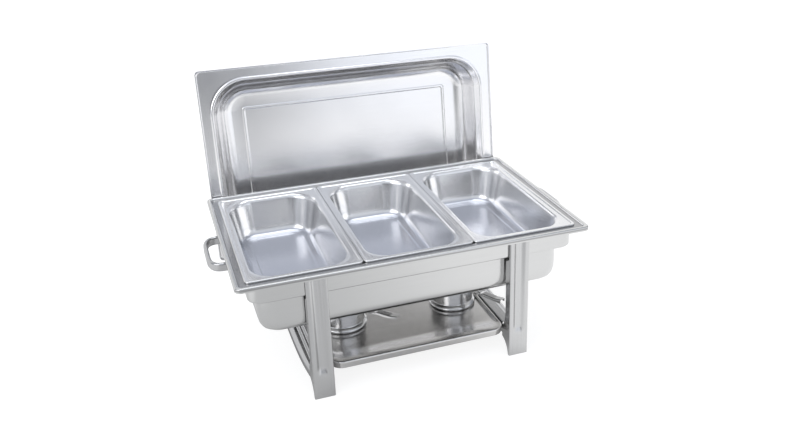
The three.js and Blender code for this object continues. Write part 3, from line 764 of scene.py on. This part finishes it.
def make_shelf():
    (low_x, low_y, _), (high_x, high_y, rim) = box_mm("burner_shelf")
    half_x, half_y = (high_x - low_x) / 2, (high_y - low_y) / 2
    floor, skirt = rim - 4.5, rim - 12.5
    under, lean = SHEET, 3               # the front and back skirts lean in
    profile = [
        (10, floor - under, 12, 0, 48), (6.6, floor - under, 14, 3, 36),
        (4.6, rim - under - 0.8, 16, 3, 16), (2.6, rim - under, 17, 1, 6),
        (SHEET, rim - under, 18.8, 0.8), (SHEET, skirt, 18.8, 0, SHEET + lean),
        (0, skirt, 20, 0.2, lean), (0, rim, 20, 2.6), (3.2, rim, 17, 3, 7),
        (4.8, rim - 0.8, 16, 3, 16), (6.6, floor, 14, 3, 36), (10, floor, 12, 0, 48),
    ]
    parts = [pressed(half_x, half_y, profile, (0, MIDDLE_Y))]
    ear = plate(rounded_ring(8, 5.3, 2.5, 4), 0, SHEET)
    ear_y, ear_z = 95, 31.3
    upright = Matrix(((0, 0, 1, 0), (1, 0, 0, 0), (0, 1, 0, 0), (0, 0, 0, 1)))
    for inner_face in (-half_x, half_x - SHEET):
        for along in (-ear_y, ear_y):
            place = Matrix.Translation((inner_face, MIDDLE_Y + along, ear_z))
            parts.append(moved(ear, place @ upright))
    add_piece("pressed_burner_shelf", parts, "stand", ["burner_shelf"], SHELF_STEEL)


def make_lid_hook(end, side):
    node = f"lid_hook_{end}"
    low, high = box_mm(node)
    x = (low[0] + high[0]) / 2
    half = 0.75                          # half the sheet's thickness
    floor = 96.2 + half
    front, back = low[1] + half, high[1] - half
    path = [(x, front, low[2], 0), (x, front, floor, 1.4),
            (x, back, floor, 1.6), (x, back, high[2], 0)]
    part = strap(path, (1, 0, 0), high[0] - low[0], 2 * half, 0.5)
    add_piece(f"folded_{node}", [part], "stand", [node], UPRIGHT_BRUSHED)


# ------------------------------------------------------------------ burners

def burner_placing(end):
    """The cup's axis on the shelf, turned so that +X runs from it to the damper's pivot."""
    centre = centre_mm(f"fuel_cup_{end}")
    low, _ = box_mm(f"fuel_cup_{end}")
    pivot = next(j for j in frame["joints"] if j["name"] == f"damper_{end}_swivel")["pos_m"]
    angle = math.atan2(pivot[1] / MM - centre[1], pivot[0] / MM - centre[0])
    return Matrix.Translation((centre[0], centre[1], low[2])) @ Matrix.Rotation(angle, 4, "Z")


CUP_HEIGHT = box_mm("fuel_cup_left")[1][2] - box_mm("fuel_cup_left")[0][2]
CUP_SEGMENTS = 96      # round a cup and its cover
WASHER_SEGMENTS = 32


def make_fuel_cup(end):
    profile = [
        (30, 0, 0), (39, 0, 1.5), (40.8, 2.5, 2), (40.8, 5.2, 2.2), (37.6, 8.6, 2), (36, 9.6, 1.5),
        (36, CUP_HEIGHT, 0.5), (34.8, CUP_HEIGHT, 0.5), (34.8, 2.6, 3.5), (20, 2.4, 0),
    ]
    part = moved(turned(profile, CUP_SEGMENTS), burner_placing(end))
    add_piece(f"turned_fuel_cup_{end}", [part], f"fuel_cup_{end}", [f"fuel_cup_{end}"],
              CUP_STEEL)


def ring_section(points):
    """Closed section with every corner bent, started on a straight stretch."""
    middle = [(a + b) / 2 for a, b in zip(points[-1][:2], points[0][:2])]
    return soften([(*middle, 0), *points, (*middle, 0)], 3)[:-1]


def turned_ring(points, segments):
    """Ring about the upright axis from the (radius, height, bend) corners of its section."""
    return spun(ring_section(points), segments, closed=True)


PIVOT = 30             # damper pivot, from the cup's axis
COVER_TOP = CUP_HEIGHT + 1.3
WASHER_LOW = COVER_TOP + 0.3
WASHER_HIGH = WASHER_LOW + 1.4
DAMPER_LOW = WASHER_HIGH + 0.3
LEVER_LOW = DAMPER_LOW + 1.3


def make_cup_cover(end):
    """Lid of the fuel cup with a round flame hole, and the washer under the damper."""
    under, skirt, raised = COVER_TOP - 1, COVER_TOP - 7.3, COVER_TOP + 0.5
    cover = turned_ring([(22, under, 0.3), (36.3, under, 0.2), (36.3, skirt, 0.2),
                         (37.3, skirt, 0.3), (37.3, COVER_TOP, 1.3), (25.5, COVER_TOP, 0.6),
                         (24.5, raised, 0.5), (22, raised, 0.5)], CUP_SEGMENTS)
    hole, rim = 2.3, 5
    washer = turned_ring([(hole, WASHER_LOW, 0.1), (rim, WASHER_LOW, 0.3), (rim, WASHER_HIGH, 0.3),
                          (hole, WASHER_HIGH, 0.1)], WASHER_SEGMENTS)
    washer = moved(washer, Matrix.Translation((PIVOT, 0, 0)))
    parts = [moved(part, burner_placing(end)) for part in (cover, washer)]
    add_piece(f"flame_cover_{end}", parts, f"cup_cover_{end}",
              [f"cup_cover_{end}", f"damper_washer_{end}"], CUP_STEEL)


def make_damper(end):
    """Round plate over the flame hole, with an arm that runs out past its pivot to the lever."""
    radius, tab, tail, thick, edge = 25.5, 7, 34, 1, 0.25
    start = math.asin(tab / radius)
    outline = [(-PIVOT + radius * math.cos(a), radius * math.sin(a))
               for a in np.linspace(start, 2 * math.pi - start, 73)]
    arm = [(*outline[-1], 0), (tail, -tab, 4), (tail, tab, 4), (*outline[0], 0)]
    outline += [tuple(p) for p in soften(arm, 6)[1:-1]]
    part = plate(outline, DAMPER_LOW, DAMPER_LOW + thick, edge)
    part = moved(part, Matrix.Translation((PIVOT, 0, 0)))
    add_piece(f"swivel_damper_{end}", [moved(part, burner_placing(end))], f"damper_{end}",
              [f"damper_{end}"], CUP_STEEL)


def make_damper_lever(end):
    """Channel strap, open below, that runs out almost level and flares at its open tip."""
    half_width, sheet, ring_spacing = 6.5, 0.9, 2
    spine = [(24, 0, 0), (40, 0, 6), (64, -1.2, 6), (79, -2.2, 0)]
    path = np.array(soften(spine, STRAP_BEND_STEPS))
    fine = [path[0]]
    for a, b in zip(path[:-1], path[1:]):
        count = max(1, int(np.linalg.norm(b - a) / ring_spacing))
        fine.extend(a + (b - a) * (i + 1) / count for i in range(count))
    fine = np.array(fine)
    along = np.gradient(fine, axis=0)
    along /= np.linalg.norm(along, axis=1, keepdims=True)
    travelled = np.concatenate([[0], np.cumsum(np.linalg.norm(np.diff(fine, axis=0), axis=1))])
    total = float(travelled[-1])
    rings = []
    for point, direction, run in zip(fine, along, travelled):
        half = half_width * math.sqrt(max(1 - max(1 - run / 5, 0) ** 2 * 0.5, 0.1))
        wall = float(np.interp(run, [0, 10, 17, total - 14, total], [1.1, 1.1, 4, 4.4, 7]))
        bend = min(wall * 0.5, 2.4)
        section = soften([(-half, 0, 0), (-half, wall, bend), (half, wall, bend), (half, 0, 0)], 5)
        up = (-direction[1], direction[0])
        rings.append([(PIVOT + point[0] + up[0] * n, -across, LEVER_LOW + point[1] + up[1] * n)
                      for across, n in sheet_section(section, -sheet)])
    add_piece(f"channel_lever_{end}", [moved(skin(rings), burner_placing(end))], f"damper_{end}",
              [f"damper_lever_{end}"], LEVER_STEEL)


# ------------------------------------------------------------------ rivets

def build_rivet_tree():
    """Puts a rivet with two domed heads on every point, along the point's axis."""
    tree, inside, out = new_group(
        "rivet_set", "GeometryNodeTree",
        [("Points", "NodeSocketGeometry", None), ("Dome", "NodeSocketObject", None),
         ("Shank", "NodeSocketObject", None), ("Head Radius", "NodeSocketFloat", 0.0036),
         ("Head Height", "NodeSocketFloat", 0.0016), ("Shank Radius", "NodeSocketFloat", 0.002),
         ("Grip", "NodeSocketFloat", 0.006), ("Finish", "NodeSocketMaterial", None)],
        [("Rivets", "NodeSocketGeometry")])
    axis = tree.nodes.new("GeometryNodeInputNamedAttribute")
    axis.data_type = "FLOAT_VECTOR"
    axis.inputs["Name"].default_value = "axis"
    joined = tree.nodes.new("GeometryNodeJoinGeometry")

    def place(shape, offset, scale_xy, scale_z, flip):
        info = tree.nodes.new("GeometryNodeObjectInfo")
        tree.links.new(inside.outputs[shape], info.inputs["Object"])
        along = tree.nodes.new("ShaderNodeVectorMath")
        along.operation = "SCALE"
        tree.links.new(axis.outputs["Attribute"], along.inputs[0])
        along.inputs["Scale"].default_value = flip
        turn = tree.nodes.new("FunctionNodeAlignRotationToVector")
        turn.axis = "Z"
        tree.links.new(along.outputs[0], turn.inputs["Vector"])
        shift = tree.nodes.new("ShaderNodeVectorMath")
        shift.operation = "SCALE"
        tree.links.new(axis.outputs["Attribute"], shift.inputs[0])
        if offset:
            tree.links.new(inside.outputs[offset], shift.inputs["Scale"])
        else:
            shift.inputs["Scale"].default_value = 0.0
        moved_points = tree.nodes.new("GeometryNodeSetPosition")
        tree.links.new(inside.outputs["Points"], moved_points.inputs["Geometry"])
        tree.links.new(shift.outputs[0], moved_points.inputs["Offset"])
        size = tree.nodes.new("ShaderNodeCombineXYZ")
        for label, source in (("X", scale_xy), ("Y", scale_xy), ("Z", scale_z)):
            tree.links.new(inside.outputs[source], size.inputs[label])
        instances = tree.nodes.new("GeometryNodeInstanceOnPoints")
        tree.links.new(moved_points.outputs[0], instances.inputs["Points"])
        tree.links.new(info.outputs["Geometry"], instances.inputs["Instance"])
        tree.links.new(turn.outputs[0], instances.inputs["Rotation"])
        tree.links.new(size.outputs[0], instances.inputs["Scale"])
        tree.links.new(instances.outputs[0], joined.inputs[0])

    place("Dome", None, "Head Radius", "Head Height", -1.0)
    place("Dome", "Grip", "Head Radius", "Head Height", 1.0)
    place("Shank", None, "Shank Radius", "Grip", 1.0)
    real = tree.nodes.new("GeometryNodeRealizeInstances")
    finish = tree.nodes.new("GeometryNodeSetMaterial")
    tree.links.new(joined.outputs[0], real.inputs[0])
    tree.links.new(real.outputs[0], finish.inputs["Geometry"])
    tree.links.new(inside.outputs["Finish"], finish.inputs["Material"])
    tree.links.new(finish.outputs[0], out.inputs["Rivets"])
    return tree


def template(name, profile):
    """Unit-sized turned shape that the rivets are made from."""
    part = turned([(r / MM, z / MM, bend / MM) for r, z, bend in profile], segments=20)
    made = bpy.data.objects.new(name, make_mesh(name, [part], RIVET_STEEL))
    bpy.context.scene.collection.objects.link(made)
    return made


RIVET_TREE = build_rivet_tree()
DOME = template("rivet_dome", [(0.3, 0, 0), (1, 0, 0.02), (1, 0.25, 0.15), (0.82, 0.72, 0.3),
                               (0.45, 0.97, 0.2), (0.12, 1, 0)])
SHANK = template("rivet_shank", [(0.3, -0.001, 0), (1, -0.001, 0), (1, 1.001, 0), (0.3, 1.001, 0)])


def make_rivets(name, body, nodes, axis, head=(3.6, 1.6), shank=2.0):
    """One mesh of all the rivets in a row of CAD nodes that share an axis and a length."""
    along = np.array(axis, float)
    starts = []
    grip = 0.0
    for node in nodes:
        low, high = box_mm(node)
        length = abs(np.dot(high - low, along))
        grip = length - 2 * head[1]
        starts.append(((low + high) / 2 - along * grip / 2) * MM)
    mesh = bpy.data.meshes.new(name)
    mesh.from_pydata([tuple(s) for s in starts], [], [])
    directions = mesh.attributes.new("axis", "FLOAT_VECTOR", "POINT")
    directions.data.foreach_set("vector", list(axis) * len(starts))
    piece = bpy.data.objects.new(name, mesh)
    bpy.context.scene.collection.objects.link(piece)
    modifier = piece.modifiers.new("rivets", "NODES")
    modifier.node_group = RIVET_TREE
    values = {"Dome": DOME, "Shank": SHANK, "Finish": RIVET_STEEL,
              "Head Radius": head[0] * MM, "Head Height": head[1] * MM,
              "Shank Radius": shank * MM, "Grip": grip * MM}
    for item in RIVET_TREE.interface.items_tree:
        if item.item_type == "SOCKET" and item.in_out == "INPUT" and item.name in values:
            modifier[item.identifier] = values[item.name]
    flatten(piece)
    settle(piece, body, nodes)


# ------------------------------------------------------------------ the whole dish

ENDS = (("left", -1), ("right", 1))

make_water_pan()
make_lid()
make_lid_grip()
make_shelf()
for pan_place in ("left", "middle", "right"):
    make_food_pan(pan_place)
for end_name, end_side in ENDS:
    make_carry_handle(end_name, end_side)
    make_leg("front", end_name)
    make_leg("rear", end_name)
    make_end_bar(end_name, end_side)
    make_lid_hook(end_name, end_side)
    make_fuel_cup(end_name)
    make_cup_cover(end_name)
    make_damper(end_name)
    make_damper_lever(end_name)
    make_rivets(f"damper_pivot_rivet_{end_name}", f"cup_cover_{end_name}",
                [f"damper_pivot_{end_name}"], (0, 0, 1))
    make_rivets(f"lever_small_rivet_{end_name}", f"damper_{end_name}",
                [f"lever_rivet_{end_name}"], (0, 0, 1), (2.6, 1.0), 1.5)
for rivet, rivet_axis in (("lid_hook_rivet", (0, 1, 0)), ("shelf_rivet", (1, 0, 0))):
    row = [f"{rivet}_{end_name}_{i}" for end_name, _ in ENDS for i in (1, 2)]
    make_rivets(f"{rivet}s", "stand", row, rivet_axis)

for spare in (DOME, SHANK):
    bpy.data.objects.remove(spare)
